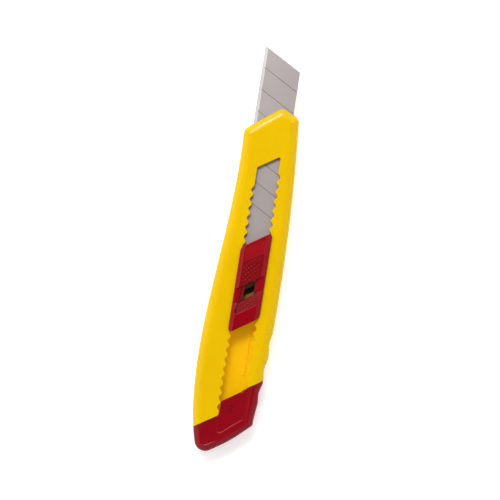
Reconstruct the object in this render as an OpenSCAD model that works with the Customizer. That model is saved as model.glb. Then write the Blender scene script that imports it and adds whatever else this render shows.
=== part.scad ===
// Snap-off utility knife: two-shell handle, sliding thumb lock, end cap and scored blade.
// Lies on its back: +Z is the window side, +Y points to the blade tip, +X is the side away from the cutting edge.
// The origin is on the flat back, under the middle of the handle.

/* [Handle] */
// thickness of the handle without the slider
handle_h = 12.5; // [12:0.1:13]
// height of the joint between the rear and the front shell
split_z = 6.2; // [6:0.1:6.4]
// thickness of the front wall round the window
front_wall = 1.8; // [1.6:0.1:1.9]
// width of the soft rounding of the front edges
round_w = 4.6; // [3.6:0.1:4.8]
// height of the soft rounding of the front edges
round_h = 2.9; // [2:0.1:3.2]
// depth of the three finger scallops
scallop = 0.75; // [0.2:0.05:1]

/* [Window] */
// distance from one lock notch to the next
pitch = 4.47; // [4.4:0.01:4.5]
// depth of the lock notches
notch = 1.2; // [0.9:0.05:1.25]
// left edge of the window, between notches
win_l = -2.9; // [-3.1:0.05:-2.8]
// right edge of the window, between notches
win_r = 7.2; // [7.1:0.05:7.4]

/* [Blade] */
// width of the blade
blade_w = 18; // [17.8:0.1:18]
// thickness of the blade
blade_t = 0.5; // [0.4:0.05:0.5]
// length of the blade, tip to tang end
blade_l = 110; // [108:0.5:112]
// width of the ground bevel
bevel_w = 1.55; // [1:0.05:2]
// distance between two score lines
score_pitch = 10.26; // [9:0.01:10.3]
// depth of a score line
score_d = 0.12; // [0.05:0.01:0.2]

/* [Slider] */
// height of the slider above the front face
slider_h = 2.9; // [2.7:0.1:3.4]
// depth of the dotted thumb recesses
dish = 0.5; // [0.35:0.05:0.6]
// height of the grip dots
dot_h = 0.35; // [0.2:0.05:0.45]
// distance between two grip dots of one column
dot_pitch = 2.2; // [2:0.05:2.4]

/* [End cap] */
// gap between the cap and the handle
seam = 0.15; // [0.1:0.01:0.25]
// depth of the recess in the face of the cap
cap_dish = 0.4; // [0.2:0.05:0.6]

/* [Hidden] */
$fn = 48;
slant = 33.1;                       // every cross line of the knife leans by this angle
tan_s = tan(slant);
mid_x = (win_l + win_r) / 2;        // centre line of window and slider
face_z = handle_h;
wall_z = handle_h - front_wall;     // underside of the front wall
blade_z = wall_z - 0.15 - blade_t;  // underside of the blade
shelf_z = blade_z - 0.15;           // shelves that carry the blade's two edges
blade_x = -8;                       // cutting edge
blade_y = 110;                      // tip, with the knife opened as shown
rib_h = 0.4;
crease = 1.8;                       // below 2, the rounding starts with a soft crease at the face
spring_z = wall_z + 0.25;
nose_l = [win_l - 0.15, -15.8];     // rounded ends of the lock spring, resting in two notches
nose_r = [win_r + 0.15, -8.46];
nose_d = 1.8;

// ---- outline of the whole handle, counter-clockwise: [x, y, corner radius, scallop share]
function bez(p, t) = p[0] * pow(1 - t, 3) + p[1] * 3 * pow(1 - t, 2) * t + p[2] * 3 * (1 - t) * t * t
    + p[3] * pow(t, 3);
function ripple(y) = scallop * (bump(y + 27.5) + bump(y + 40) + bump(y + 51.5));
function bump(d) = abs(d) < 5.2 ? pow(cos(d / 5.2 * 90), 2) : 0;
function side(p, n) = [for (i = [0:n]) let (q = bez(p, i / n)) [q[0], q[1], 0, q[0] > 0 ? ripple(q[1]) : 0]];
right_low = [[13.55, -66], [13.7, -59.2], [16.65, -48.4], [16.65, -2]];
right_up = [[16.65, 2], [16.65, 9], [16.2, 46.8], [13, 76.2]];
left_up = [[-11.76, 67.6], [-10.23, 31.5], [-16.78, -4.8], [-16.78, -37]];
left_low = [[-16.78, -40], [-16.78, -48], [-16.08, -65.1], [-12.4, -77.6]];
OUT = concat([for (q = side(right_low, 34)) if (q[1] > -63) q], side(right_up, 9),
    [[12.95, 78.4, 1.7, 0], [4.5, 82.95, 3.4, 0], [-6.8, 74.2, 9, 0], [-11.8, 69.6, 1.8, 0]],
    side(left_up, 11), side(left_low, 6),
    [[-10.2, -85.1, 5.05, 0], [4.2, -75.7, 70, 0], [13.6, -66.85, 1.1, 0]]);

function unit(v) = v / norm(v);
function xy(v) = [v[0], v[1]];
function out_n(a, b) = let (u = unit(xy(b) - xy(a))) [u[1], -u[0]];
// a corner moved inwards by d, with its arc
function corner(a, v, b, r, d, k) = let (n1 = out_n(a, v), n2 = out_n(v, b), m = (n1 + n2) / (1 + n1 * n2),
    rr = max(r - d, 0.6), c = xy(v) - m * (d + rr), a1 = atan2(n1[1], n1[0]), a2 = atan2(n2[1], n2[0]),
    s = a2 - a1 > 180 ? a2 - a1 - 360 : a2 - a1 < -180 ? a2 - a1 + 360 : a2 - a1)
    [for (i = [0:k]) c + rr * [cos(a1 + s * i / k), sin(a1 + s * i / k)]];
// the whole outline moved inwards by d; scallops fade out towards the face
function ring(d) = let (n = len(OUT)) [for (i = [0:n - 1]) let (a = OUT[(i + n - 1) % n], v = OUT[i],
    b = OUT[(i + 1) % n]) each v[2] > 0 ? corner(a, v, b, v[2], d, 4)
    : [xy(v) - out_n(a, b) * (d + v[3] * max(0, 1 - d / round_w))]];
// a rounded polygon: each point is [x, y, radius]
function rounded(p) = let (n = len(p)) [for (i = [0:n - 1]) each p[i][2] > 0
    ? corner(p[(i + n - 1) % n], p[i], p[(i + 1) % n], p[i][2], 0, 6) : [xy(p[i])]];

// levels of a solid between two heights: [z, inset]
function front_inset(z) = let (t = (z - handle_h + round_h) / round_h)
    t <= 0 ? 0 : round_w * (1 - pow(max(0, 1 - pow(t, crease)), 1 / crease));
function back_inset(z) = let (t = 1 - z / 2.4) t <= 0 ? 0 : 2.6 * (1 - sqrt(max(0, 1 - t * t)));
front_steps = [for (a = [0:18:90]) handle_h - round_h + round_h * pow(sin(a), 2 / crease)];
back_steps = [for (a = [90:-22.5:0]) 2.4 - 2.4 * sin(a)];
function levels(z) = [for (q = z) [q, front_inset(min(q, handle_h)) + back_inset(max(q, 0))]];

module stack(z) {
    lv = levels(z);
    r = [for (l = lv) ring(l[1])];
    n = len(r[0]);
    m = len(lv);
    polyhedron(points = [for (j = [0:m - 1]) for (q = r[j]) [q[0], q[1], lv[j][0]]],
        faces = concat([[for (i = [0:n - 1]) i]], [[for (i = [n - 1:-1:0]) (m - 1) * n + i]],
            [for (j = [0:m - 2]) for (i = [0:n - 1]) let (k = (i + 1) % n)
                each [[j * n + i, (j + 1) * n + i, (j + 1) * n + k], [j * n + i, (j + 1) * n + k, j * n + k]]]));
}

// ---- the seam between handle and cap, as the height of the slanted line at x
function seam_l(x) = -62.46 + x * 0.643;
function seam_r(x) = -55.18 + x * 0.652;
module above_seam(z0, z1) {
    translate([0, 0, z0]) linear_extrude(z1 - z0) polygon([[-20, seam_l(-20)], [-3.5, seam_l(-3.5)],
        [8, seam_r(8)], [20, seam_r(20)], [20, 90], [-20, 90]]);
}

// notches: one edge of the window with a rounded wave cut into it
function wave(x, s, y0, count) = [for (i = [0:count - 1]) for (k = [-2:2])
    [x + s * notch * (0.5 + 0.5 * cos(k * 72)), y0 - i * pitch - k * pitch / 5 * -s]];
function window_pts() = concat(
    [[win_l + 0.5, 53, 0], [win_r - 0.9, 53 + 8.3 * tan_s, 0], [win_r, 53 + 8.3 * tan_s - 0.9, 0]],
    [for (i = [0:22]) for (k = [-2:2]) [win_r + notch * (0.5 + 0.5 * cos(k * 72)), 49.6 - (i + k / 5) * pitch, 0]],
    [[win_r, -52, 0], [win_r, -90, 0], [win_l, -90, 0], [win_l, seam_l(-3) - 0.2, 0]],
    [for (i = [23:-1:0]) for (k = [2:-1:-2]) [win_l - notch * (0.5 + 0.5 * cos(k * 72)), 42.3 - (i + k / 5) * pitch, 0]],
    [[win_l, 52.2, 0]]);

module window() {
    translate([0, 0, wall_z - 1]) linear_extrude(front_wall + 2) polygon([for (q = window_pts()) xy(q)]);
}

module handle_front() color("#F0C300") difference() {
    intersection() {
        stack(concat([split_z - 0.5], front_steps, [handle_h + 0.5]));
        above_seam(split_z, handle_h);
    }
    window();
    // channel of the blade, open at the mouth and at the tail
    translate([blade_x - 0.3, -90, shelf_z]) cube([blade_w + 0.6, 200, wall_z - shelf_z]);
    // channel of the carrier, between the two shelves
    translate([mid_x - 6.7, -90, split_z - 1]) cube([13.4, 150, shelf_z - split_z + 1.5]);
    // holes that take the pegs of the rear shell
    for (p = pegs) translate([p[0], p[1], split_z - 1]) cylinder(d = 2.1, h = 3.1);
}
pegs = [[-9, 62], [12.2, 52], [-11.5, -30], [13, -28]];

module handle_rear() color("#E8BC00") {
    difference() {
        intersection() {
            stack(concat([-0.5], back_steps, [split_z + 0.5]));
            above_seam(0, split_z);
        }
        // pocket for spare blades, open at the tail
        translate([blade_x - 0.6, -90, 2.1]) cube([blade_w + 1.2, 135, 2.3]);
    }
    // rib on the floor of the channel
    translate([4.9, -43.8, split_z - 0.2]) cube([1.4, 95, rib_h + 0.2]);
    translate([5.6, -43.8, split_z - 0.2]) cylinder(d = 1.4, h = rib_h + 0.2);
    for (p = pegs) translate([p[0], p[1], split_z - 0.2]) cylinder(d = 2, h = 1.9);
}

module end_cap() color("#98081A") difference() {
    union() {
        intersection() {
            stack(concat([-0.5], back_steps, front_steps, [handle_h + 0.5]));
            linear_extrude(handle_h) polygon([[-20, seam_l(-20) - seam],
                [-3.4, seam_l(-3.4) - seam], [6.6, -52.2 - seam], [8, seam_r(8) - seam], [20, seam_r(20) - seam],
                [20, -90], [-20, -90]]);
        }
        // tongue that closes the tail of the window
        translate([0, 0, wall_z + 0.1]) linear_extrude(front_wall - cap_dish + 0.1) polygon(rounded([[-2.75, -70, 0],
            [6.5, -70, 0], [6.5, -51.5, 0.8], [-2.75, -57.8, 0.6]]));
        // plug in the pocket of the rear shell
        translate([0, 0, 2.25]) linear_extrude(2) polygon([[blade_x - 0.45, -70], [blade_x + blade_w + 0.45, -60],
            [blade_x + blade_w + 0.45, -38], [blade_x - 0.45, -38]]);
    }
    // very shallow dish inside the rounded border
    translate([0, 0, face_z - 0.15]) linear_extrude(2) polygon(rounded([[-10.6, -50, 0], [-9.9, -80.9, 2.4],
        [2.3, -74.3, 20], [10, -67.2, 2.5], [10.3, -40, 0]]));
    // shallow recess where the slider's tail passes over the cap
    translate([0, 0, face_z - cap_dish]) linear_extrude(2) polygon(rounded([[-2.9, -50, 0], [-2.9, -74.2, 1.5],
        [9.2, -64.2, 4], [9.2, -40, 0]]));
    // moulded arrow that shows which way the cap comes off
    translate([2.7, -58.8, face_z - cap_dish - 0.3]) linear_extrude(2) polygon([[-0.55, 0], [-0.55, -3],
        [-1.4, -3], [0, -5.6], [1.4, -3], [0.55, -3], [0.55, 0]]);
}

// ---- slider: heights along w, the direction square to the slanted lines
top_z = face_z + slider_h;
function crest(w) = w > 9 ? top_z - (w - 9) * 0.11 : w > -3.5 ? top_z - (9 - w) * 0.073
    : w > -12 ? top_z - (w + 12) * 0.13 : top_z + (w + 12) * 0.15;
function on_w(x, w) = w / cos(slant) + (x - mid_x + 0.1) * tan_s;   // y of the slanted line w at x
module lean() { translate([mid_x - 0.1, 0, 0]) rotate(slant) children(); }
module sweep(p) { lean() rotate([90, 0, 90]) translate([0, 0, -16]) linear_extrude(32) polygon(p); }
module between(w0, w1, x0, x1, z0, z1) {
    translate([0, 0, z0]) linear_extrude(z1 - z0)
        polygon([[x0, on_w(x0, w0)], [x1, on_w(x1, w0)], [x1, on_w(x1, w1)], [x0, on_w(x0, w1)]]);
}
// a recess whose floor runs at depth d under the crest, from w0 to w1
module recess(d, w0, w1, x0, x1, r) intersection() {
    sweep([[w0 - 1, crest(w0) + (crest(w0) - crest(w1)) / (w1 - w0) - d],
        [w1 + 1, crest(w1) + (crest(w1) - crest(w0)) / (w1 - w0) - d], [w1 + 1, 30], [w0 - 1, 30]]);
    linear_extrude(30) polygon(rounded([[x0, on_w(x0, w0), r[0]], [x1, on_w(x1, w0), r[1]],
        [x1, on_w(x1, w1), r[2]], [x0, on_w(x0, w1), r[3]]]));
}
SL = [mid_x - 6.9, mid_x + 6.8];    // sides of the slider
rail = [1.95, 2.15];                // widths of the two sloping side rails
edge_z = face_z + 0.9;              // outer edge of the rails
module slider_plan() {
    polygon(rounded([[SL[0], 14.9, 3], [SL[0], -25.8, 1.3], [SL[1], -16.7, 4], [SL[1], 24, 1.2]]));
}
// block with sloping side rails; its crest follows the thumb's dip
module hood() {
    ws = [-19.5, -12, -6.5, -3.5, -0.5, 9, 17.5];
    pts = [for (w = ws) let (z = crest(w), e = z - edge_z) each [
        for (q = [[SL[0] - 0.5, edge_z - e * 0.5 / rail[0]], [SL[0] + rail[0], z], [SL[1] - rail[1], z],
            [SL[1] + 0.5, edge_z - e * 0.5 / rail[1]], [SL[1] + 0.5, face_z - 1], [SL[0] - 0.5, face_z - 1]])
            [q[0], on_w(q[0], w), q[1]]]];
    m = len(ws) - 1;
    polyhedron(points = pts, faces = concat([[3, 4, 5], [2, 3, 5], [1, 2, 5], [0, 1, 5]],
        [for (t = [[4, 3, 5], [3, 2, 5], [2, 1, 5], [1, 0, 5]]) [for (i = t) m * 6 + i]],
        [for (j = [0:m - 1]) for (i = [0:5]) let (k = (i + 1) % 6)
            each [[j * 6 + 6 + k, j * 6 + k, j * 6 + i], [j * 6 + 6 + i, j * 6 + 6 + k, j * 6 + i]]]));
}
// slanted gap: a low floor on each side, steps, and an opening that goes right through
module gap() intersection() {
    between(-6.6, -0.6, SL[0] - 2, SL[1] + 2, 0, 30);
    translate([0, 20, face_z]) rotate([90, 0, 0]) linear_extrude(50) polygon([[-9, 9], [-9, 1.2], [-1.9, 1.2],
        [-1.9, 0.45], [-1.05, 0.45], [-1.05, 0.9], [-0.05, 0.9], [-0.05, -9], [4.45, -9], [4.45, 0.45], [5.9, 0.45],
        [5.9, 1.2], [13, 1.2], [13, 9]]);
}
module slider() color("#B00A1E") difference() {
    union() {
        difference() {
            union() {
                intersection() {
                    translate([0, 0, face_z + 0.1]) linear_extrude(slider_h + 1) slider_plan();
                    hood();
                }
                // neck that runs in the window, ahead of the gap and behind it
                between(-1, 11.2, win_l + 0.2, win_r - 0.2, wall_z + 0.1, face_z + 0.3);
                between(-10.7, -6, mid_x - 4, mid_x + 4, wall_z + 0.1, face_z + 0.3);
                // peg that holds the carrier
                translate([mid_x - 0.1, -11.3, wall_z - 2.4]) cylinder(d = 1.8, h = 2.6);
            }
            // front panel and the two dotted thumb recesses
            recess(0.3, 8.7, 15.3, -2.6, 6.45, [0, 0, 0.5, 0.8]);
            recess(dish, -2.4, 8.9, -2.45, 6.6, [0, 0, 0.4, 0.4]);
            recess(dish + 0.1, -11.4, -4.6, -2.7, 6.4, [0.4, 1.8, 0, 0]);
            gap();
        }
        for (k = [0:7]) for (i = [-5:5]) {
            dot(-1.7 + k * dot_pitch / 2, -0.9 + k * dot_pitch / 2 + i * dot_pitch, 0.1, 8.4, dish);
            dot(-1.1 + k * dot_pitch / 2, -11.97 + k * dot_pitch / 2 + i * dot_pitch, -10.9, -7.2, dish + 0.1);
        }
    }
    // socket of the carrier's stud
    translate([1, 7, 0]) cylinder(d = 4, h = face_z - 0.5);
    // slot that holds the lock spring
    bow(0.25, spring_z - 0.1, spring_z + 1.4);
}
module dot(x, y, w0, w1, d) {
    w = (y - (x - mid_x + 0.1) * tan_s) * cos(slant);
    if (x < 6 && w > w0 && w < w1) translate([x, y, crest(w) - d - 0.4]) cylinder(d = 0.95, h = dot_h + 0.4, $fn = 24);
}

module blade_carrier() color("#E8BC00") difference() {
    union() {
        between(-10.9, 14.5, mid_x - 6.5, mid_x + 6.5, split_z + rib_h + 0.15, blade_z - 0.05);
        between(-10.9, -6.4, mid_x - 6.5, mid_x + 6.5, blade_z - 0.4, wall_z - 0.1);
        between(-6.4, -6.2, mid_x - 6.5, mid_x + 6.5, blade_z - 0.4, blade_z - 0.05);
        translate([1, 7, blade_z - 0.2]) cylinder(d = 3.9, h = blade_t + 1.5);
    }
    // slot under the slider's opening
    between(-5.3, -2.65, -0.6, 5.1, 0, 30);
    translate([mid_x - 0.1, -11.3, 0]) cylinder(d = 1.9, h = 30);
}

// arched strip with a rounded nose at each end
module bow(extra, z0, z1) {
    c = (nose_l + nose_r) / 2;
    half = norm(nose_r - nose_l) / 2;
    rise = 2.2;
    r = (half * half + rise * rise) / (2 * rise);
    dir = unit(nose_r - nose_l);
    up = [-dir[1], dir[0]];
    o = c + up * (rise - r);
    translate([0, 0, z0]) {
        intersection() {
            difference() {
                translate(o) cylinder(r = r + 0.2 + extra / 2, h = z1 - z0);
                translate([o[0], o[1], -1]) cylinder(r = r - 0.2 - extra / 2, h = z1 - z0 + 2);
            }
            linear_extrude(z1 - z0) polygon([nose_l, nose_r, nose_r + up * 6, nose_l + up * 6]);
        }
        for (p = [nose_l, nose_r]) translate(p) cylinder(d = nose_d + extra, h = z1 - z0);
    }
}
module lock_spring() color("#B9BCC0") bow(0, spring_z, spring_z + 1.2);

module blade() color("#B7B0AE") {
    t = 0.558;                       // slope of the tip and of every score line
    difference() {
        translate([blade_x, blade_y, blade_z]) rotate([90, 0, 0]) translate([0, 0, 0]) linear_extrude(blade_l)
            polygon([[0, blade_t / 2 - 0.03], [bevel_w, 0], [blade_w, 0], [blade_w, blade_t], [bevel_w, blade_t],
                [0, blade_t / 2 + 0.03]]);
        translate([0, 0, blade_z - 1]) linear_extrude(3) polygon([[blade_x - 1, blade_y + t], [blade_x + 20, blade_y - 20 * t],
            [blade_x + 20, blade_y + 5], [blade_x - 1, blade_y + 5]]);
        // score lines
        for (i = [1:7]) translate([0, 0, blade_z + blade_t - score_d]) linear_extrude(1) polygon([for (q = [[bevel_w, 0.2],
            [blade_w + 1, 0.2], [blade_w + 1, -0.2], [bevel_w, -0.2]]) [blade_x + q[0],
            blade_y + 0.76 - i * score_pitch - t * q[0] + q[1]]]);
        translate([1, 7, 0]) cylinder(d = 4, h = 20);
    }
}

handle_front();
handle_rear();
end_cap();
slider();
blade_carrier();
lock_spring();
blade();
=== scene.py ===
"""Snap-off utility knife: moulded yellow handle, red slider and end cap, scored steel blade."""
import math

import bmesh
import bpy
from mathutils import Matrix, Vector


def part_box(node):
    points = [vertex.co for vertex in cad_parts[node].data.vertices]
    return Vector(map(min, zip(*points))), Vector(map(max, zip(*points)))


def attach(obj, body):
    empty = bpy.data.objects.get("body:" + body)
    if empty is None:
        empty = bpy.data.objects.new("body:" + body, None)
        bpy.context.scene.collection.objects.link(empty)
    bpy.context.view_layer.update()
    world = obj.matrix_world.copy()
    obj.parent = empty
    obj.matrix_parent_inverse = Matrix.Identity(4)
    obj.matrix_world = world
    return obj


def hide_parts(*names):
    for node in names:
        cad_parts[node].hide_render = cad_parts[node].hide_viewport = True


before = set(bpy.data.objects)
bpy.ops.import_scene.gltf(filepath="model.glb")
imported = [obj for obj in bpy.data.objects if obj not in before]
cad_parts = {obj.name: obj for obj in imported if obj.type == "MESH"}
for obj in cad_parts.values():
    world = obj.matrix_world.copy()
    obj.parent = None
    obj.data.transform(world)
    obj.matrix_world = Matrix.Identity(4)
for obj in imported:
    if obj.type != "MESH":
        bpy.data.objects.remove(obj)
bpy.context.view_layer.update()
MM = 0.001

# ---------------------------------------------------------------- sizes in mm, read from the frame
def node_box(node):
    """Lowest and highest corner of a CAD node, in mm."""
    lo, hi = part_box(node)
    return [v / MM for v in lo], [v / MM for v in hi]


FRONT_LO, FRONT_HI = node_box("handle_front")
BLADE_LO, BLADE_HI = node_box("blade")
SLIDER_LO, SLIDER_HI = node_box("slider")
TOP = FRONT_HI[2]                 # front face
SPLIT = FRONT_LO[2]               # joint of the two shells
SLIDE_TOP = SLIDER_HI[2]          # highest edge of the slider, without its dots
WALL_Z = TOP - 1.8                # underside of the front wall
CUT = 2                           # how far a cutting tool stands out of what it cuts
FAR = 100                         # past the end of the handle
ROUND_W, ROUND_H = 4.6, 2.9       # soft rounding of the front edges
CREASE = 1.8                      # below 2, the rounding starts with a soft crease at the face
BACK_W, BACK_H = 2.6, 2.4         # and of the back edges
BEND_STEPS = 9                    # rings in each rounding
LEAST_R, LEAST_TIP_R = 0.6, 1.8   # smallest corner radii of the inner rings, elsewhere and at the nose
SCALLOP, SCALLOP_HALF = 0.75, 5.2 # depth and half length of a finger scallop
SCALLOPS = (27.5, 40, 51.5)       # their distances below the origin
PITCH, NOTCH = 4.47, 1.2          # lock notches
WIN_L, WIN_R = -2.9, 7.2          # straight edges of the window
SLANT = math.radians(33.1)
TAN = math.tan(SLANT)
MID = (WIN_L + WIN_R) / 2 - 0.1   # slider's centre line
SEAM_GAP = 0.3                    # between handle and cap

# ---------------------------------------------------------------- outline of the handle
RIGHT_LOW = [(13.55, -66), (13.7, -59.2), (16.65, -48.4), (16.65, -2)]
RIGHT_UP = [(16.65, 2), (16.65, 9), (16.2, 46.8), (13, 76.2)]
LEFT_UP = [(-11.76, 67.6), (-10.23, 31.5), (-16.78, -4.8), (-16.78, -37)]
LEFT_LOW = [(-16.78, -40), (-16.78, -48), (-16.08, -65.1), (-12.4, -77.6)]
NOSE = [(12.95, 78.4, 3.2), (4.5, 82.95, 3.8), (-6.8, 74.2, 9), (-11.8, 69.6, 2.6)]
TAIL = [(-10.2, -85.1, 5.05), (4.2, -75.7, 70), (13.6, -66.85, 1.1)]


def bez(p, t):
    """Point of a cubic curve."""
    w = [(1 - t) ** 3, 3 * (1 - t) ** 2 * t, 3 * (1 - t) * t * t, t ** 3]
    return tuple(sum(a * q[i] for a, q in zip(w, p)) for i in (0, 1))


def ripple(y):
    """Depth share of the three finger scallops on the right edge."""
    d = [abs(y + c) / SCALLOP_HALF for c in SCALLOPS]
    return sum(math.cos(e * math.pi / 2) ** 2 for e in d if e < 1)


def seam_y(x):
    """Height of the slanted seam between handle and cap."""
    return -62.46 + 0.643 * x if x < 2 else -55.18 + 0.652 * x


def unit(x, y):
    n = math.hypot(x, y)
    return (x / n, y / n)


def normal(a, b):
    """Outward normal of the edge from a to b, on a path that runs anticlockwise."""
    u = unit(b[0] - a[0], b[1] - a[1])
    return (u[1], -u[0])


def corner(a, v, b, r, d, k, least):
    """Arc of k steps that rounds corner v of the path a-v-b, moved inwards by d; a sharp corner if r is 0."""
    n1, n2 = normal(a, v), normal(v, b)
    dot = 1 + n1[0] * n2[0] + n1[1] * n2[1]
    m = ((n1[0] + n2[0]) / dot, (n1[1] + n2[1]) / dot)
    if not r:
        return [(v[0] - m[0] * d, v[1] - m[1] * d)]
    rr = max(r - d, least)
    c = (v[0] - m[0] * (d + rr), v[1] - m[1] * (d + rr))
    a1, a2 = math.atan2(n1[1], n1[0]), math.atan2(n2[1], n2[0])
    turn = (a2 - a1 + math.pi) % (2 * math.pi) - math.pi
    angles = [a1 + turn * i / k for i in range(k + 1)]
    return [(c[0] + rr * math.cos(t), c[1] + rr * math.sin(t)) for t in angles]


def rounded(p, k=8, d=0.0, least=LEAST_R):
    """Polygon of (x, y, radius) corners, rounded and moved inwards by d."""
    out = []
    for i, q in enumerate(p):
        out += corner(p[i - 1][:2], q[:2], p[(i + 1) % len(p)][:2], q[2], d, k, least)
    return out


def side(p, count, t0=0.0, t1=1.0):
    """Points along part of a cubic curve, as unrounded corners."""
    return [(*bez(p, t0 + (t1 - t0) * i / count), 0) for i in range(count + 1)]


PATH = (side(RIGHT_LOW, 44, 0.07, 1) + side(RIGHT_UP, 16, 0, 0.94) + NOSE
        + side(LEFT_UP, 22, 0.05, 1) + side(LEFT_LOW, 12) + TAIL)


def ring(d):
    """The closed outline moved inwards by d; the scallops fade out towards the face."""
    out = []
    for i, v in enumerate(PATH):
        a, b = PATH[i - 1], PATH[(i + 1) % len(PATH)]
        if v[2]:
            out += corner(a, v, b, v[2], d, 8, LEAST_TIP_R if v in NOSE[:2] else LEAST_R)
        else:
            n = normal(a, b)
            inset = d + (SCALLOP * ripple(v[1]) * max(0, 1 - d / ROUND_W) if v[0] > 0 else 0)
            out.append((v[0] - n[0] * inset, v[1] - n[1] * inset))
    return out


def levels(front, back):
    """[(z, inset)] from the lowest ring to the highest, of the front shell, the rear shell or both."""
    angles = [math.pi / 2 * i / BEND_STEPS for i in range(BEND_STEPS + 1)]
    out = [(SPLIT, 0)]
    if back:
        out = [(BACK_H * (1 - math.sin(a)), BACK_W * (1 - math.cos(a))) for a in angles[::-1]]
    if not front:
        return out + [(SPLIT, 0)]
    power = 2 / CREASE
    return out + [(TOP - ROUND_H * (1 - math.sin(a) ** power), ROUND_W * (1 - abs(math.cos(a)) ** power))
                  for a in angles]


# ---------------------------------------------------------------- mesh helpers
def new_object(name, bm, mats):
    """An object made from a bmesh, with its materials."""
    bmesh.ops.recalc_face_normals(bm, faces=bm.faces)
    me = bpy.data.meshes.new(name)
    bm.to_mesh(me)
    bm.free()
    ob = bpy.data.objects.new(name, me)
    bpy.context.scene.collection.objects.link(ob)
    for m in mats:
        me.materials.append(m)
    return ob


def loft(slices):
    """A closed solid through slices of equally many (x, y, z) points, in mm."""
    bm = bmesh.new()
    rings = [[bm.verts.new((x * MM, y * MM, z * MM)) for x, y, z in points] for points in slices]
    n = len(rings[0])
    for a, b in zip(rings, rings[1:]):
        for i in range(n):
            j = (i + 1) % n
            bm.faces.new((a[i], a[j], b[j], b[i]))
    bm.faces.new(rings[0][::-1])
    bm.faces.new(rings[-1])
    return bm


def prism(points, z0, z1):
    """A closed upright prism on a polygon."""
    return loft([[(x, y, z) for x, y in points] for z in (z0, z1)])


def box_points(x0, x1, y0, y1):
    return [(x0, y0), (x1, y0), (x1, y1), (x0, y1)]


def bake(ob):
    """Applies an object's modifiers to its mesh."""
    dg = bpy.context.evaluated_depsgraph_get()
    me = bpy.data.meshes.new_from_object(ob.evaluated_get(dg))
    old = ob.data
    ob.modifiers.clear()
    ob.data = me
    bpy.data.meshes.remove(old)


def outline(lv):
    """The handle's outline lofted through its levels."""
    return loft([[(x, y, z) for x, y in ring(d)] for z, d in lv])


def boolean(ob, bm, kind="DIFFERENCE"):
    """Cuts, joins or trims ob with a closed bmesh."""
    tool = new_object("tool", bm, [])
    mod = ob.modifiers.new("b", "BOOLEAN")
    mod.operation, mod.solver, mod.object = kind, "EXACT", tool
    bake(ob)
    bpy.data.objects.remove(tool)


def finish_mesh(ob, bevel=0.0, angle=30):
    """Soft moulded edges and smooth shading."""
    bm = clean(ob, 0.002)
    bm.to_mesh(ob.data)
    bm.free()
    if bevel:
        mod = ob.modifiers.new("bevel", "BEVEL")
        mod.width, mod.segments, mod.limit_method = bevel * MM, 3, "ANGLE"
        mod.angle_limit, mod.use_clamp_overlap, mod.miter_outer = math.radians(angle), False, "MITER_ARC"
        bake(ob)
    for p in ob.data.polygons:
        p.use_smooth = True
    ob.data.set_sharp_from_angle(angle=math.radians(38))
    mod = ob.modifiers.new("weighted", "WEIGHTED_NORMAL")
    mod.keep_sharp, mod.weight = True, 80
    bake(ob)


def clean(ob, dist):
    """A bmesh of the object's mesh, with the slivers that a cut leaves merged away."""
    bm = bmesh.new()
    bm.from_mesh(ob.data)
    bmesh.ops.remove_doubles(bm, verts=bm.verts, dist=dist * MM)
    bmesh.ops.dissolve_degenerate(bm, edges=bm.edges, dist=dist * MM)
    return bm


def soften(ob, z, width, segments=3):
    """Rounds the sharp rim round the openings cut in the flat face at height z."""
    bm = clean(ob, 0.004)
    rim = [e for e in bm.edges if len(e.link_faces) == 2 and e.calc_face_angle() > math.radians(60)
           and all(abs(v.co.z - z * MM) < 0.003 * MM for v in e.verts)]
    bmesh.ops.bevel(bm, geom=rim, offset=width * MM, segments=segments, profile=0.5, affect="EDGES",
                    clamp_overlap=False)
    bm.to_mesh(ob.data)
    bm.free()


# ---------------------------------------------------------------- materials
def material(name):
    """A new material, its node tree and its shader."""
    m = bpy.data.materials.new(name)
    m.use_nodes = True
    nt = m.node_tree
    return m, nt, nt.nodes["Principled BSDF"]


def noise(nt, scale, detail=4, rough=0.55, stretch=(1, 1, 1)):
    """Noise in the object's own coordinates."""
    tc = nt.nodes.new("ShaderNodeTexCoord")
    mp = nt.nodes.new("ShaderNodeMapping")
    mp.inputs["Scale"].default_value = stretch
    nz = nt.nodes.new("ShaderNodeTexNoise")
    nz.inputs["Scale"].default_value = scale
    nz.inputs["Detail"].default_value = detail
    nz.inputs["Roughness"].default_value = rough
    nt.links.new(tc.outputs["Object"], mp.inputs["Vector"])
    nt.links.new(mp.outputs["Vector"], nz.inputs["Vector"])
    return nz.outputs["Fac"]


def ramp(nt, fac, stops):
    """Colours at (position, colour) stops."""
    r = nt.nodes.new("ShaderNodeValToRGB")
    for element, (pos, col) in zip(r.color_ramp.elements, (stops[0], stops[-1])):
        element.position, element.color = pos, (*col, 1)
    for pos, col in stops[1:-1]:
        r.color_ramp.elements.new(pos).color = (*col, 1)
    nt.links.new(fac, r.inputs["Fac"])
    return r.outputs["Color"]


def grey(a):
    return (a, a, a)


def bump(nt, height, shader, strength, distance):
    """Surface relief, distance in metres."""
    b = nt.nodes.new("ShaderNodeBump")
    b.inputs["Strength"].default_value = strength
    b.inputs["Distance"].default_value = distance
    nt.links.new(height, b.inputs["Height"])
    nt.links.new(b.outputs["Normal"], shader.inputs["Normal"])


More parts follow.
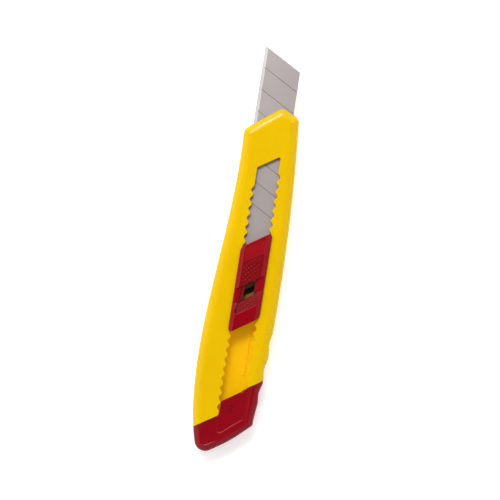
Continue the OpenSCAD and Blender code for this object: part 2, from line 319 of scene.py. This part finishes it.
def plastic(name, tone, shade, rough, glow=0.0, depth=0.0012, painted_glow=0.0):
    """Moulded plastic: faint cloudy flow in the colour, rubbed and smooth patches, fine spark-eroded grain.

    glow is how translucent it is, depth how far light spreads in it in metres, and lit stands in for the
    light that comes through from behind."""
    m, nt, sh = material(name)
    nt.links.new(ramp(nt, noise(nt, 45, 3), [(0.35, shade), (0.65, tone)]), sh.inputs["Base Color"])
    nt.links.new(ramp(nt, noise(nt, 160, 5, 0.6), [(0.3, grey(rough - 0.04)), (0.7, grey(rough + 0.06))]),
                 sh.inputs["Roughness"])
    bump(nt, noise(nt, 2600, 3, 0.6), sh, 0.04, 0.00005)
    sh.inputs["IOR"].default_value = 1.3
    sh.inputs["Subsurface Weight"].default_value = glow
    sh.inputs["Subsurface Radius"].default_value = (1.0, 0.35, 0.05)
    sh.inputs["Subsurface Scale"].default_value = depth
    sh.inputs["Sheen Weight"].default_value = 0.06
    sh.inputs["Sheen Roughness"].default_value = 0.35
    sh.inputs["Emission Color"].default_value = (1.0, 0.47, 0.0, 1)
    sh.inputs["Emission Strength"].default_value = painted_glow
    return m


# name, two tones, roughness, then translucency, and for the inner floor a painted glow
YELLOW = plastic("yellow_plastic", (0.74, 0.47, 0.0), (0.71, 0.445, 0.0), 0.15, 0.3, 0.0016)
# the inner floor: the handle's yellow plus painted glow, an emission that lightens the shade under the slider
INNER_GLOW = plastic("yellow_plastic_inner_glow", (0.76, 0.47, 0.0), (0.72, 0.43, 0.0), 0.3, 0.5, 0.003, 0.23)
# the carrier: yellow plastic painted dark olive brown, painted shade for where it lies deep under the slider
CARRIER_SHADED = plastic("carrier_plastic_shaded", (0.30, 0.17, 0.03), (0.18, 0.10, 0.015), 0.3)
RED = plastic("red_plastic", (0.285, 0.0, 0.005), (0.25, 0.0, 0.004), 0.24)
# recess floors and gap steps: matt, and a darker red that is painted shade
GRIP_SHADE = plastic("red_plastic_grip_shaded", (0.22, 0.0, 0.004), (0.17, 0.0, 0.003), 0.36)
DARK_RED = plastic("dark_red_plastic", (0.245, 0.001, 0.007), (0.215, 0.0005, 0.006), 0.22)


def steel(name, light, dark, rough, along, metal=1.0):
    """Ground strip steel: fine grinding lines, faintly clouded polish and small scuffs."""
    m, nt, sh = material(name)
    sh.inputs["Metallic"].default_value = metal
    nt.links.new(ramp(nt, noise(nt, 60, 4, 0.6), [(0.3, dark), (0.7, light)]), sh.inputs["Base Color"])
    lines = noise(nt, 500, 6, 0.65, along)
    polish = ramp(nt, lines, [(0.25, grey(rough - 0.03)), (0.75, grey(rough + 0.04))])
    nt.links.new(polish, sh.inputs["Roughness"])
    bump(nt, noise(nt, 1800, 3, 0.6, along), sh, 0.1, 0.00001)
    return m


BLADE_FACE = steel("blade_steel", (0.40, 0.357, 0.351), (0.375, 0.335, 0.329), 0.56, (0.2, 2.5, 1), 0.8)
BEVEL = steel("bevel_steel", (0.67, 0.655, 0.64), (0.54, 0.53, 0.515), 0.35, (4, 1, 1), 0.35)
# darker steel on the score grooves' faces: painted shade in the grooves
SCORE_SHADE = steel("score_steel_shaded", (0.16, 0.15, 0.15), (0.10, 0.095, 0.095), 0.5, (1, 1, 1), 0.8)
# a near-black sheet under the carrier's slot: painted shade
SLOT_SHADE = steel("painted_shade_steel", (0.05, 0.035, 0.03), (0.025, 0.018, 0.015), 0.35, (1, 1, 1), 0.6)
SPRING = steel("spring_steel", (0.6, 0.6, 0.6), (0.5, 0.5, 0.5), 0.25, (1, 1, 4))

# ---------------------------------------------------------------- handle
LIP = 0.28                        # soft rim of the window
CHANNEL_FLOOR = 2.1               # of the spare blades' pocket
RIB = (4.9, 6.3, 51.2, -43.8)     # left, right, top and bottom of the guide rib on the rear shell
RIB_H = 0.4


def above_seam(z0, z1):
    """Everything on the handle's side of the seam."""
    return prism([(x, seam_y(x)) for x in (-25, -3.5, 8, 25)] + [(25, FAR), (-25, FAR)], z0, z1)


def wave(x, s, y0, count):
    """Rounded lock notches down one edge of the window, s = 1 on the right and -1 on the left."""
    n = 10
    pts = []
    for i in range(count):
        for k in range(-n // 2, n // 2):
            depth = NOTCH * (0.5 + 0.5 * math.cos(2 * math.pi * k / n))
            pts.append((x + s * depth, y0 - (i + k / n) * PITCH))
    return pts


def window_points():
    right = wave(WIN_R, 1, 49.6, 23)
    left = wave(WIN_L, -1, 42.3, 24)[::-1]
    corners = [(WIN_L, 30, 0), (WIN_R, 30, 0), (WIN_R, 53 + (WIN_R - WIN_L) * TAN, 0.7), (WIN_L, 53, 0.9)]
    top = rounded(corners, 5)[2:]
    low = [(WIN_R, -52), (WIN_R, -90), (WIN_L, -90), (WIN_L, seam_y(-3) - 0.2)]
    return right + low + left + top[::-1]


def handle_front():
    """Front shell: window with its notches, slot for the blade and room for the carrier under it."""
    ob = new_object("front_shell", outline(levels(True, False)), [YELLOW])
    boolean(ob, above_seam(SPLIT - 1, TOP + 1), "INTERSECT")
    boolean(ob, prism(window_points(), WALL_Z - 0.6, TOP + CUT))
    soften(ob, TOP, LIP)
    x0, x1 = BLADE_LO[0] - 0.3, BLADE_HI[0] + 0.3
    boolean(ob, prism(box_points(x0, x1, -90, FAR + 10), BLADE_LO[2] - 0.15, WALL_Z))
    centre, half = MID + 0.1, 6.7
    boolean(ob, prism(box_points(centre - half, centre + half, -90, 60), SPLIT - 1, BLADE_LO[2] - 0.14))
    finish_mesh(ob)
    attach(ob, "handle")
    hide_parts("handle_front")


def handle_rear():
    """Rear shell: blade pocket, and the floor with the guide rib that the window shows."""
    ob = new_object("rear_shell", outline(levels(False, True)), [YELLOW, INNER_GLOW])
    boolean(ob, above_seam(-1, SPLIT + 1), "INTERSECT")
    x0, x1 = BLADE_LO[0] - 0.6, BLADE_HI[0] + 0.6
    boolean(ob, prism(box_points(x0, x1, -90, 45), CHANNEL_FLOOR, 4.4))
    left, right, top, bottom = RIB
    r = (right - left) / 2
    foot = [(left + r - r * math.cos(a), bottom - r * math.sin(a))
            for a in (math.pi * i / 12 for i in range(1, 12))]
    rib = [(left, top), (left, bottom)] + foot + [(right, bottom), (right, top)]
    boolean(ob, prism(rib, SPLIT - 0.3, SPLIT + RIB_H), "UNION")
    soften(ob, SPLIT + RIB_H, 0.18)
    finish_mesh(ob)
    # floor faces in the blade pocket, which the window shows, get the inner material with its painted glow
    for p in ob.data.polygons:
        c = p.center / MM
        p.material_index = 1 if x0 - 0.1 < c.x < x1 + 0.1 and c.z > 1.9 and p.normal.z > -0.5 else 0
    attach(ob, "handle")
    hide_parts("handle_rear")


# ---------------------------------------------------------------- end cap
# each recess: rounded corners, depth, width of its soft wall, height of the face it is cut in
BORDER = ([(-10.6, -50, 0), (-9.9, -80.9, 2.4), (2.3, -74.3, 20), (10, -67.2, 2.5), (10.3, -40, 0)],
          0.42, 1.5, TOP)
PANEL = ([(-2.9, -50, 0), (-2.9, -74.2, 1.5), (9.2, -64.2, 4), (9.2, -40, 0)], 0.28, 1.0, TOP - 0.3)
PANEL_Z = TOP - 0.58
TONGUE = [(-2.75, -70, 0), (6.5, -70, 0), (6.5, -51.5, 0.8), (-2.75, -57.8, 0.6)]
ARROW_AT = (2.7, -58.8)
ARROW = ((-0.55, 0), (-0.55, -3), (-1.4, -3), (0, -5.6), (1.4, -3), (0.55, -3), (0.55, 0))


def dished(points, depth, soft, z_top):
    """A recess with gently curved walls round a rounded polygon, as a closed cutting tool."""
    steps = 6
    slices = []
    for t in (i / steps for i in range(steps + 1)):
        z = z_top - depth * (0.5 + 0.5 * math.cos(math.pi * t))
        slices.append([(x, y, z) for x, y in rounded(points, 10, soft * (0.5 - t), 0.3)])
    return loft(slices + [[(x, y, z_top + 3) for x, y, z in slices[-1]]])


def end_cap():
    """End cap: tongue that closes the window, plug inside the rear shell, dished faces and a plain arrow."""
    ob = new_object("tail_cap", outline(levels(True, True)), [DARK_RED])
    seam = [(x, y - SEAM_GAP)
            for x, y in ((25, seam_y(25)), (8, seam_y(8)), (6.6, -52.2), (-3.4, seam_y(-3.4)))]
    left_end = (-25, seam_y(-25) - SEAM_GAP)
    boolean(ob, prism([left_end, (-25, -FAR), (25, -FAR)] + seam, -1, TOP + 1), "INTERSECT")
    boolean(ob, prism(rounded(TONGUE), WALL_Z + 0.1, TOP - 0.3), "UNION")
    x0, x1 = BLADE_LO[0] - 0.45, BLADE_HI[0] + 0.45
    boolean(ob, prism([(x0, -70), (x1, -60), (x1, -38), (x0, -38)], 2.25, 4.25), "UNION")
    boolean(ob, dished(*BORDER))
    boolean(ob, dished(*PANEL))
    boolean(ob, prism([(ARROW_AT[0] + x, ARROW_AT[1] + y) for x, y in ARROW], TOP - 0.95, TOP + CUT))
    soften(ob, PANEL_Z, 0.16, 2)
    finish_mesh(ob)
    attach(ob, "cap")
    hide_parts("end_cap")


# ---------------------------------------------------------------- slider
SL0, SL1 = SLIDER_LO[0], SLIDER_HI[0]
RAIL = (1.95, 2.15)               # widths of the sloping side rails
EDGE_Z = TOP + 0.9                # outer edge of the rails
ROOF, UPPER, LOWER = 0.3, 0.5, 0.85           # depths of the roof's panel and of the two dotted recesses
GAP_W = (-6.6, -0.6)              # the gap between the recesses
DOT_R, DOT_H, DOT_STEP = 0.47, 0.33, 2.2
DOT_SIDES, DOT_TIERS = 14, 5


# w runs square to the slanted lines across the slider, with 0 at the origin on its centre line
def crest(w):
    """Height of the slider's crest: it dips at the gap for the thumb."""
    if w > 9:
        return SLIDE_TOP - (w - 9) * 0.11
    if w > -3.5:
        return SLIDE_TOP - (9 - w) * 0.073
    if w > -12:
        return SLIDE_TOP - (w + 12) * 0.13
    return SLIDE_TOP + (w + 12) * 0.15


def on_w(x, w):
    """y of the slanted line w at x."""
    return w / math.cos(SLANT) + (x - MID) * TAN


def w_of(x, y):
    return (y - (x - MID) * TAN) * math.cos(SLANT)


def hood():
    """Block with sloping side rails whose top follows the crest."""
    slices = []
    for w in (-19.5, -15, -12, -9, -6.5, -3.5, -0.5, 3, 6, 9, 12, 15, 17.5):
        z = crest(w)
        out = 0.5                 # past the slider's sides, which trim it
        drop = [(z - EDGE_Z) * out / r for r in RAIL]
        pts = [(SL0 - out, EDGE_Z - drop[0]), (SL0 + RAIL[0], z), (SL1 - RAIL[1], z),
               (SL1 + out, EDGE_Z - drop[1]), (SL1 + out, TOP - 1), (SL0 - out, TOP - 1)]
        slices.append([(x, on_w(x, w), z) for x, z in pts])
    return loft(slices)


def recess(depth, w0, w1, x0, x1, radii):
    """A pocket whose floor runs at a depth under the crest."""
    plan = rounded([(x, on_w(x, w), r) for x, w, r in zip((x0, x1, x1, x0), (w0, w0, w1, w1), radii)], 6)
    slope = (crest(w1) - crest(w0)) / (w1 - w0)
    floor_points = [(x, y, crest(w0) + (w_of(x, y) - w0) * slope - depth) for x, y in plan]
    return loft([floor_points, [(x, y, 30) for x, y in plan]])


def gap():
    """The slanted gap: a low floor on each side, steps, and an opening that goes right through."""
    steps = [(-9, 9), (-9, 1.2), (-1.9, 1.2), (-1.9, 0.45), (-1.05, 0.45), (-1.05, 0.9), (-0.05, 0.9),
             (-0.05, -9), (4.45, -9), (4.45, 0.45), (5.9, 0.45), (5.9, 1.2), (13, 1.2), (13, 9)]
    return loft([[(x, on_w(x, w), TOP + z) for x, z in steps] for w in GAP_W])


def dots(bm):
    """Staggered grip dots, as small domes on the two recess floors."""
    spots = []
    for k in range(8):
        for i in range(-5, 6):
            across, along = k * DOT_STEP / 2, (k / 2 + i) * DOT_STEP
            spots.append((-1.7 + across, -0.9 + along, 0.1, 8.4, UPPER))
            spots.append((-1.1 + across, -11.97 + along, -10.9, -7.2, LOWER))
    for x, y, w0, w1, depth in spots:
        if x > 6 or not w0 < w_of(x, y) < w1:
            continue
        # (radius, height) of the dome's rings; the first one is sunk into the floor
        profile = [(DOT_R * 1.12, -0.15)]
        profile += [(DOT_R * math.cos(a), DOT_H * math.sin(a))
                    for a in (math.pi / 2 * e / DOT_TIERS for e in range(DOT_TIERS))]
        rings = []
        for r, h in profile:
            verts = []
            for a in (2 * math.pi * i / DOT_SIDES for i in range(DOT_SIDES)):
                px, py = x + r * math.cos(a), y + r * math.sin(a)
                verts.append(bm.verts.new((px * MM, py * MM, (crest(w_of(px, py)) - depth + h) * MM)))
            rings.append(verts)
        top = bm.verts.new((x * MM, y * MM, (crest(w_of(x, y)) - depth + DOT_H) * MM))
        for i in range(DOT_SIDES):
            j = (i + 1) % DOT_SIDES
            for a, b in zip(rings, rings[1:]):
                bm.faces.new((a[i], a[j], b[j], b[i])).smooth = True
            bm.faces.new((rings[-1][i], rings[-1][j], top)).smooth = True
        bm.faces.new(rings[0][::-1])


def grip_shade_face(p):
    """True for the floors of the dotted recesses and the steps in the gap, which get a matt finish and a
    darker red that is painted shade.
    """
    c = p.center / MM
    w = w_of(c.x, c.y)
    deep = crest(w) - c.z > 0.46 and -2.6 < c.x < 6.6 and (-0.6 < w < 8.95 or -11.3 < w < -6.6)
    step = -6.7 < w < -0.5 and c.z < TOP + 0.92 and -2 < c.x < 6
    return deep and p.normal.z > 0.9 or step


def slider():
    plan = rounded([(SL0, 14.9, 3), (SL0, -25.8, 1.3), (SL1, -16.7, 4), (SL1, 24, 1.2)], 8)
    ob = new_object("thumb_slider", prism(plan, TOP + 0.1, SLIDE_TOP + 1), [RED])
    boolean(ob, hood(), "INTERSECT")
    boolean(ob, recess(ROOF, 8.7, 15.3, -2.6, 6.45, (0, 0, 0.5, 0.8)))
    boolean(ob, recess(UPPER, -2.4, 8.9, -2.45, 6.6, (0, 0, 0.4, 0.4)))
    boolean(ob, recess(LOWER, -11.4, -4.6, -2.7, 6.4, (0.4, 1.8, 0, 0)))
    boolean(ob, gap())
    finish_mesh(ob, 0.16, 20)
    ob.data.materials.append(GRIP_SHADE)
    # recess floors and gap steps get the matt red, darkened as painted shade
    for p in ob.data.polygons:
        p.material_index = 1 if grip_shade_face(p) else 0
    bm = bmesh.new()
    bm.from_mesh(ob.data)
    dots(bm)
    bm.to_mesh(ob.data)
    bm.free()
    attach(ob, "slide")
    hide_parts("slider")


def carrier_slot_shade():
    """Thin dark sheet at the bottom of the carrier's slot: painted shade, a dark sheet where the slot is only
    deep and shaded.
    """
    z = node_box("blade_carrier")[0][2]
    plan = [(x, on_w(x, w)) for x, w in ((-0.8, -5.5), (5.3, -5.5), (5.3, -2.45), (-0.8, -2.45))]
    ob = new_object("carrier_slot_shade", prism(plan, z + 0.02, z + 0.3), [SLOT_SHADE])
    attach(ob, "slide")


# ---------------------------------------------------------------- blade
TIP_SLOPE = 0.558                 # slope of the tip and of every score line
SCORE_PITCH, SCORE_W, SCORE_D = 10.26, 0.28, 0.14
SCORE_COUNT, SCORE_SHIFT = 7, 0.76            # the shift is that of the first line, along the knife
BEVEL_W = 1.55
EDGE_HALF = 0.03                  # half the thickness that the cutting edge keeps
CHAMFER = 0.08                    # on the back edge
STUD = (1, 7, 2)                  # centre and radius of the stud's hole


def blade():
    """The whole snap-off blade: plate, ground bevel, score grooves and the stud's hole."""
    x0, x1 = BLADE_LO[0], BLADE_HI[0]
    z0, z1, tip = BLADE_LO[2], BLADE_HI[2], BLADE_HI[1]
    mid = (z0 + z1) / 2
    section = [(x0, mid - EDGE_HALF), (x0 + BEVEL_W, z0), (x1 - CHAMFER, z0), (x1, z0 + CHAMFER),
               (x1, z1 - CHAMFER), (x1 - CHAMFER, z1), (x0 + BEVEL_W, z1), (x0, mid + EDGE_HALF)]
    ob = new_object("snap_blade", loft([[(x, y, z) for x, z in section] for y in (BLADE_LO[1], tip + 1)]),
                    [BLADE_FACE, BEVEL, SCORE_SHADE])
    beyond_tip = [(x0 - 1, tip + TIP_SLOPE), (x0 + 20, tip - 20 * TIP_SLOPE), (x0 + 20, tip + 5),
                  (x0 - 1, tip + 5)]
    boolean(ob, prism(beyond_tip, z0 - 1, z1 + 1))
    cx, cy, r = STUD
    hole = [(cx + r * math.cos(a), cy + r * math.sin(a)) for a in (2 * math.pi * i / 40 for i in range(40))]
    boolean(ob, prism(hole, z0 - 1, z1 + 1))
    for i in range(1, SCORE_COUNT + 1):
        groove = []
        for x in (x0 + 1.2, x1 + 1):
            y = tip + SCORE_SHIFT - i * SCORE_PITCH - TIP_SLOPE * (x - x0)
            groove.append([(x, y - SCORE_W / 2, z1 + 0.05), (x, y, z1 - SCORE_D),
                           (x, y + SCORE_W / 2, z1 + 0.05)])
        boolean(ob, loft(groove))
    finish_mesh(ob)
    # bevel faces get the ground bevel's steel; groove faces get the darker steel, painted shade in the
    # grooves
    for p in ob.data.polygons:
        c, n = p.center / MM, p.normal
        if c.x < x0 + BEVEL_W and 0.05 < abs(n.x) and abs(n.z) > 0.5:
            p.material_index = 1
        elif z1 - SCORE_D - 0.01 < c.z < z1 - 0.005 and abs(n.y) > 0.2:
            p.material_index = 2
    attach(ob, "slide")
    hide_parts("blade")


handle_front()
handle_rear()
end_cap()
slider()
carrier_slot_shade()
blade()
# the carrier gets the darkened plastic, which is painted shade
for node, mat in (("lock_spring", SPRING), ("blade_carrier", CARRIER_SHADED)):
    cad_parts[node].data.materials.clear()
    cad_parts[node].data.materials.append(mat)

# ---------------------------------------------------------------- floor, light and camera
FLOOR_HALF = 4                    # metres
FLOOR_DROP = 0.00005              # keeps it clear of the knife's back


def floor():
    """Pale floor with a little light of its own, which hides most of the knife's shadow."""
    bm = bmesh.new()
    bmesh.ops.create_grid(bm, x_segments=2, y_segments=2, size=FLOOR_HALF)
    m, nt, sh = material("floor")
    nt.links.new(ramp(nt, noise(nt, 3, 2), [(0.3, grey(0.93)), (0.7, grey(0.95))]), sh.inputs["Base Color"])
    sh.inputs["Roughness"].default_value = 0.9
    sh.inputs["Emission Color"].default_value = (1, 1, 1, 1)
    sh.inputs["Emission Strength"].default_value = 0.4
    ob = new_object("floor", bm, [m])
    ob.location.z = -FLOOR_DROP


def area(name, offset, size, power):
    """White softbox that faces the knife; offset and size in metres, power in watts."""
    data = bpy.data.lights.new(name, "AREA")
    data.shape, data.size, data.size_y = "RECTANGLE", size[0], size[1]
    data.energy = power
    ob = bpy.data.objects.new(name, data)
    ob.location = AIM + Vector(offset)
    ob.rotation_mode = "QUATERNION"
    ob.rotation_quaternion = (AIM - ob.location).to_track_quat("-Z", "Y")
    bpy.context.scene.collection.objects.link(ob)


def surroundings():
    """White walls, dim near the floor and to the right, and a dark ceiling, so flat faces seen from above
    keep their own colour."""
    world = bpy.data.worlds.new("studio")
    bpy.context.scene.world = world
    world.use_nodes = True
    nt = world.node_tree
    tc = nt.nodes.new("ShaderNodeTexCoord")
    xyz = nt.nodes.new("ShaderNodeSeparateXYZ")
    nt.links.new(tc.outputs["Generated"], xyz.inputs["Vector"])
    height = ramp(nt, xyz.outputs["Z"],
                  [(0.0, grey(0.12)), (0.35, grey(1.15)), (0.52, grey(1.15)), (0.85, grey(0.12))])
    turn = nt.nodes.new("ShaderNodeVectorMath")
    turn.operation = "DOT_PRODUCT"
    turn.inputs[1].default_value = (-0.45, 0.2, 0.0)
    nt.links.new(tc.outputs["Generated"], turn.inputs[0])
    shift = nt.nodes.new("ShaderNodeMath")
    shift.operation, shift.inputs[1].default_value = "ADD", 0.5
    nt.links.new(turn.outputs["Value"], shift.inputs[0])
    side_col = ramp(nt, shift.outputs["Value"], [(0.1, grey(0.65)), (0.9, grey(1.0))])
    mix = nt.nodes.new("ShaderNodeMix")
    mix.data_type, mix.blend_type = "RGBA", "MULTIPLY"
    mix.inputs["Factor"].default_value = 1.0
    nt.links.new(height, mix.inputs["A"])
    nt.links.new(side_col, mix.inputs["B"])
    nt.links.new(mix.outputs["Result"], nt.nodes["Background"].inputs["Color"])
    nt.nodes["Background"].inputs["Strength"].default_value = WALLS


ROLL = math.radians(8.93)
WIDTH = 500 / 2.14 * MM            # what the picture spans at the front face
DISTANCE = 0.95
AIM = Vector((-0.33 * MM, 14.24 * MM, TOP * MM))
WALLS = 1.35

floor()
area("key", (-0.40, 0.94, 1.38), (1.0, 0.6), 16.5)
area("streak", (-0.43, 1.0, 1.34), (0.34, 0.07), 5)
area("glint", (0.45, 0.48, 0.90), (0.035, 0.03), 0.7)
surroundings()

cam_data = bpy.data.cameras.new("camera")
cam_data.sensor_width = 36
cam_data.lens = 36 * DISTANCE / WIDTH
cam = bpy.data.objects.new("camera", cam_data)
cam.location = AIM + Vector((0, 0, DISTANCE))
cam.rotation_euler = (0, 0, ROLL)
bpy.context.scene.collection.objects.link(cam)
bpy.context.scene.camera = cam
bpy.context.scene.view_settings.view_transform = "Standard"
